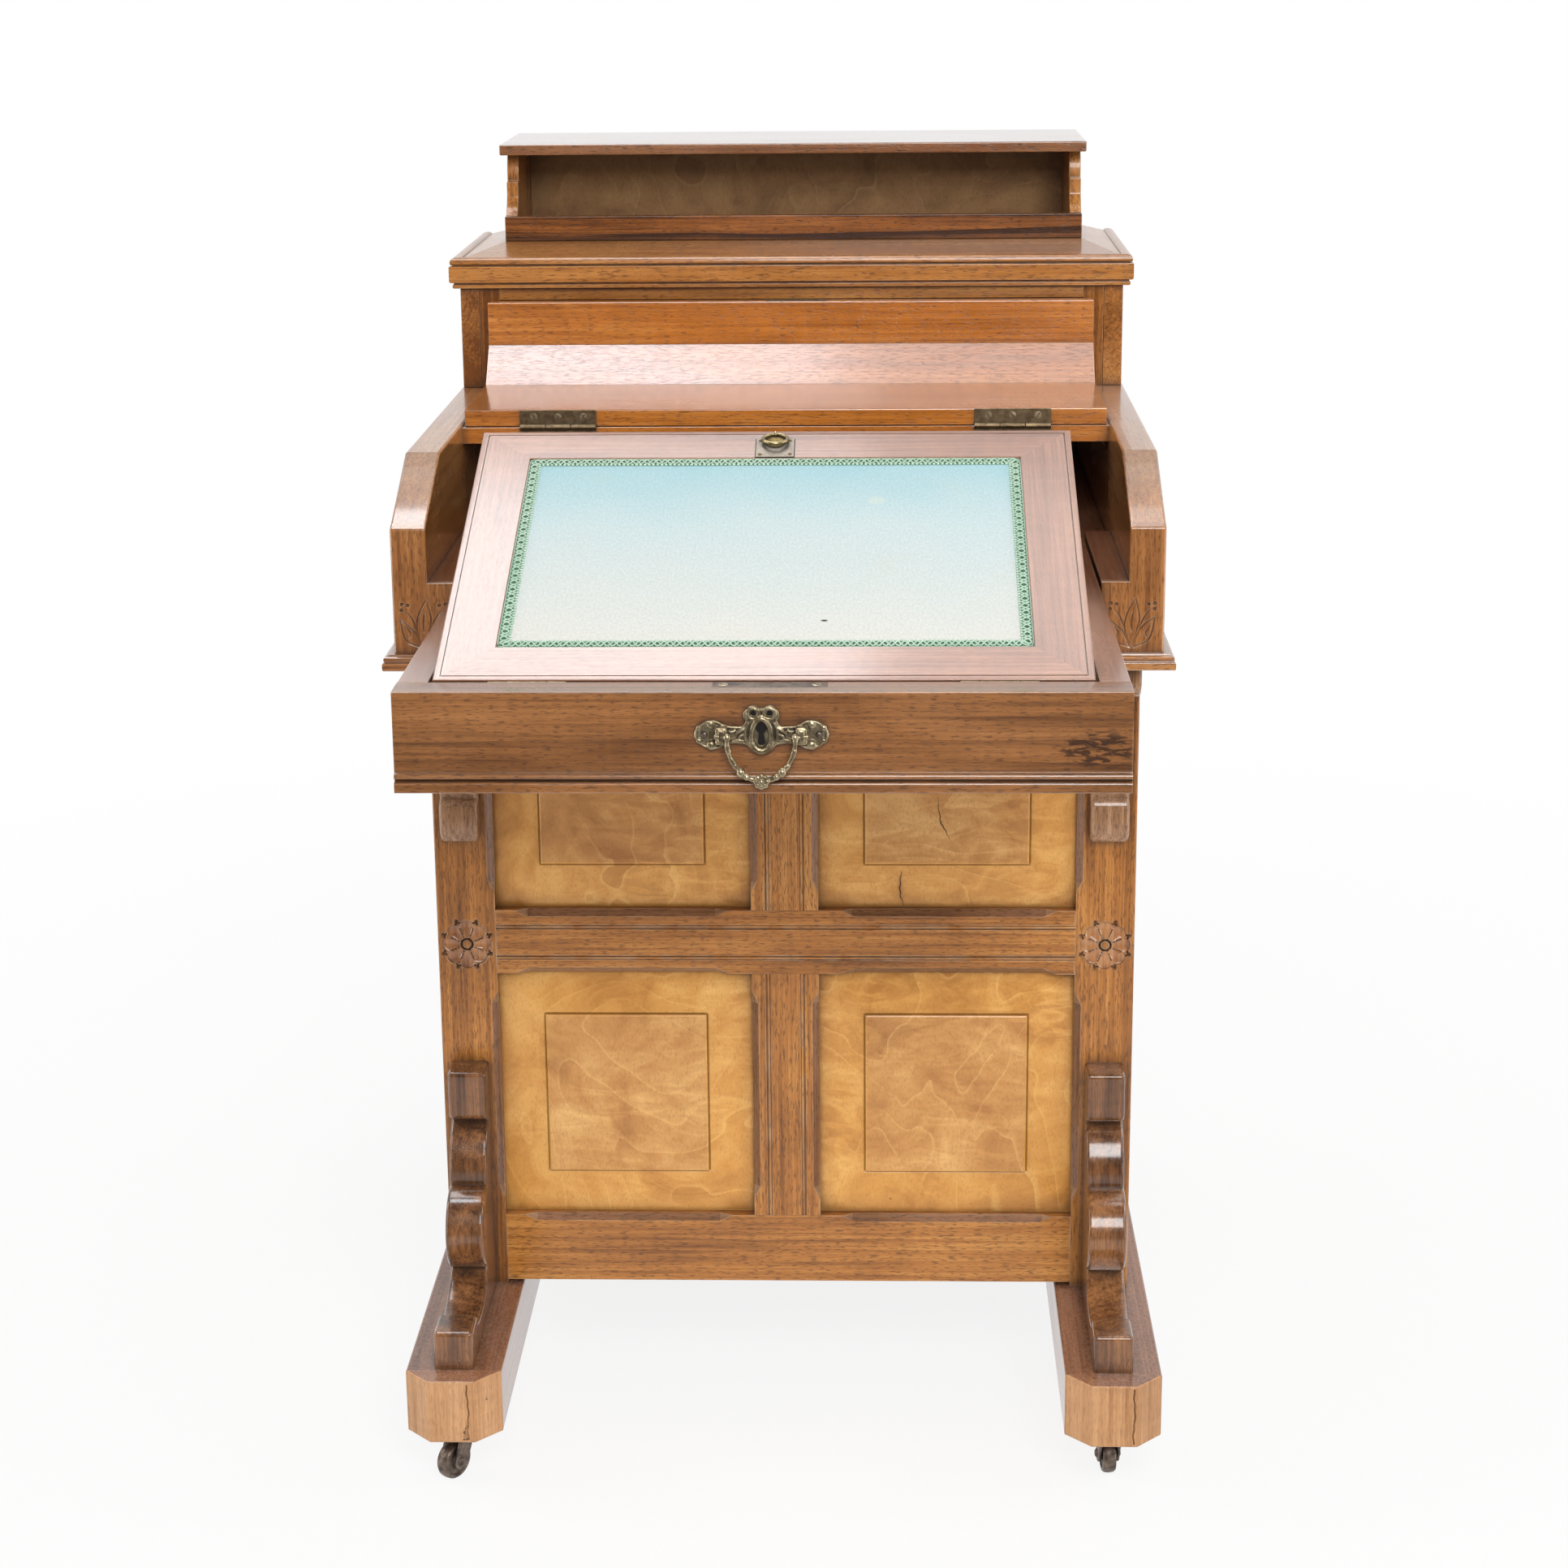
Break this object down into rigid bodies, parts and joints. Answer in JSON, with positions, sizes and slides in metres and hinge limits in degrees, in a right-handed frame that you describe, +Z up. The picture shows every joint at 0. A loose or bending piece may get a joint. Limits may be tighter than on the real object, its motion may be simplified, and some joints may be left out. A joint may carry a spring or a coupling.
{
  "type": "davenport desk",
  "caption": "Walnut davenport desk with pull-out writing box, raised cloth-lined flap, fold-back lid, stationery top with gallery, side drawers and castors.",
  "frame": {"origin": "on the floor, under the middle of the whole desk's box with the writing box pulled out", "axes": "+Z up, +Y from the sitter to the back of the desk, +X to the sitter's right"},
  "size_m": [0.5766, 0.9254, 0.979],
  "materials": {
    "walnut": "French-polished, warm orange-brown",
    "figured_walnut": "French-polished figured veneer, golden",
    "pale_timber": "plain planed timber inside",
    "brass": "worn brass",
    "old_brass": "dark cast brass with bright edges",
    "cloth": "faded felted cloth, sea green to cream",
    "braid": "woven green edging",
    "castor_metal": "dark worn iron and brass"
  },
  "bodies": {
    "desk": {"castor_plates": "castor_metal", "foot_left": "walnut", "foot_right": "walnut", "corner_posts": "walnut", "front_frame": "walnut", "back_frame": "walnut", "front_panels": "figured_walnut", "back_panels": "walnut", "side_rails": "walnut", "dust_boards": "pale_timber", "sham_drawer_fronts": "walnut", "sham_drawer_knobs": "walnut", "foot_brackets": "walnut", "body_brackets": "walnut", "cheek_left": "walnut", "cheek_right": "walnut", "box_guides": "walnut", "base_moulding": "walnut", "body_bottom": "walnut", "body_back": "walnut", "rear_lid_board": "walnut", "fixed_hinge_leaves": "brass", "case_shell": "walnut", "case_front": "walnut"},
    "box": {"box_front": "walnut", "box_lock": "brass", "box_tray": "pale_timber", "handle_plate": "old_brass"},
    "flap": {"flap_frame": "walnut", "flap_panel": "walnut", "writing_cloth": "cloth", "cloth_braid": "braid", "flap_hinges": "brass", "flap_ring_plate": "brass"},
    "prop": {"flap_prop": "walnut"},
    "ring": {"flap_ring": "brass"},
    "bail": {"bail_handle": "old_brass"},
    "lid": {"lid_flap": "walnut", "lid_hinge_leaves": "brass", "strike_plate": "brass"},
    "moulded_top": {"case_lid": "walnut", "top_hinge_leaves": "brass", "gallery_frame": "walnut", "gallery_shelf": "walnut"},
    "drawer_1": {"drawer_1": "pale_timber", "drawer_1_knobs": "walnut"},
    "drawer_2": {"drawer_2": "pale_timber", "drawer_2_knobs": "walnut"},
    "drawer_3": {"drawer_3": "pale_timber", "drawer_3_knobs": "walnut"},
    "drawer_4": {"drawer_4": "pale_timber", "drawer_4_knobs": "walnut"},
    "castor_front_left": {"castor_fork_front_left": "castor_metal"},
    "wheel_front_left": {"castor_wheel_front_left": "castor_metal"},
    "castor_front_right": {"castor_fork_front_right": "castor_metal"},
    "wheel_front_right": {"castor_wheel_front_right": "castor_metal"},
    "castor_rear_left": {"castor_fork_rear_left": "castor_metal"},
    "wheel_rear_left": {"castor_wheel_rear_left": "castor_metal"},
    "castor_rear_right": {"castor_fork_rear_right": "castor_metal"},
    "wheel_rear_right": {"castor_wheel_rear_right": "castor_metal"}
  },
  "joints": [
    {"name": "box_slide", "type": "slide", "parent": "desk", "child": "box", "axis": [0, 1, 0], "range_m": [0, 0.33]},
    {"name": "flap_fold", "type": "hinge", "parent": "box", "child": "flap", "pos_m": [0, -0.4245, 0.69755], "axis": [1, 0, 0], "range_deg": [-21.1, 0.1]},
    {"name": "prop_fold", "type": "hinge", "parent": "flap", "child": "prop", "pos_m": [0, -0.23173, 0.75345], "axis": [1, 0, 0], "range_deg": [-34.1, 0.1]},
    {"name": "ring_lift", "type": "hinge", "parent": "flap", "child": "ring", "pos_m": [0, -0.14545, 0.80844], "axis": [-1, 0, 0], "range_deg": [0, 90]},
    {"name": "bail_swing", "type": "hinge", "parent": "box", "child": "bail", "pos_m": [0, -0.45925, 0.672], "axis": [-1, 0, 0], "range_deg": [0, 90]},
    {"name": "lid_fold", "type": "hinge", "parent": "desk", "child": "lid", "pos_m": [0, 0.06015, 0.77925], "axis": [1, 0, 0], "range_deg": [0, 180]},
    {"name": "top_lift", "type": "hinge", "parent": "desk", "child": "moulded_top", "pos_m": [0, 0.45035, 0.866], "axis": [-1, 0, 0], "range_deg": [0, 75]},
    {"name": "drawer_1_slide", "type": "slide", "parent": "desk", "child": "drawer_1", "axis": [1, 0, 0], "range_m": [0, 0.36]},
    {"name": "drawer_2_slide", "type": "slide", "parent": "desk", "child": "drawer_2", "axis": [1, 0, 0], "range_m": [0, 0.36]},
    {"name": "drawer_3_slide", "type": "slide", "parent": "desk", "child": "drawer_3", "axis": [1, 0, 0], "range_m": [0, 0.36]},
    {"name": "drawer_4_slide", "type": "slide", "parent": "desk", "child": "drawer_4", "axis": [1, 0, 0], "range_m": [0, 0.36]},
    {"name": "castor_front_left_swivel", "type": "hinge", "parent": "desk", "child": "castor_front_left", "pos_m": [-0.2505, -0.17725, 0.042], "axis": [0, 0, 1], "continuous": true},
    {"name": "wheel_front_left_roll", "type": "hinge", "parent": "castor_front_left", "child": "wheel_front_left", "pos_m": [-0.25566, -0.18462, 0.015], "axis": [-0.8192, 0.5736, 0], "continuous": true},
    {"name": "castor_front_right_swivel", "type": "hinge", "parent": "desk", "child": "castor_front_right", "pos_m": [0.2505, -0.17725, 0.042], "axis": [0, 0, 1], "continuous": true},
    {"name": "wheel_front_right_roll", "type": "hinge", "parent": "castor_front_right", "child": "wheel_front_right", "pos_m": [0.24987, -0.16827, 0.015], "axis": [0.9976, 0.0698, 0], "continuous": true},
    {"name": "castor_rear_left_swivel", "type": "hinge", "parent": "desk", "child": "castor_rear_left", "pos_m": [-0.2505, 0.41275, 0.042], "axis": [0, 0, 1], "continuous": true},
    {"name": "wheel_rear_left_roll", "type": "hinge", "parent": "castor_rear_left", "child": "wheel_rear_left", "pos_m": [-0.25829, 0.41725, 0.015], "axis": [0.5, 0.866, 0], "continuous": true},
    {"name": "castor_rear_right_swivel", "type": "hinge", "parent": "desk", "child": "castor_rear_right", "pos_m": [0.2505, 0.41275, 0.042], "axis": [0, 0, 1], "continuous": true},
    {"name": "wheel_rear_right_roll", "type": "hinge", "parent": "castor_rear_right", "child": "wheel_rear_right", "pos_m": [0.2543, 0.42091, 0.015], "axis": [0.9063, -0.4226, 0], "continuous": true}
  ],
  "couplings": [
    {"joint": "flap_fold", "follows": "box_slide", "rad_per_m": -1.1107},
    {"joint": "prop_fold", "follows": "box_slide", "rad_per_m": -1.7982}
  ]
}
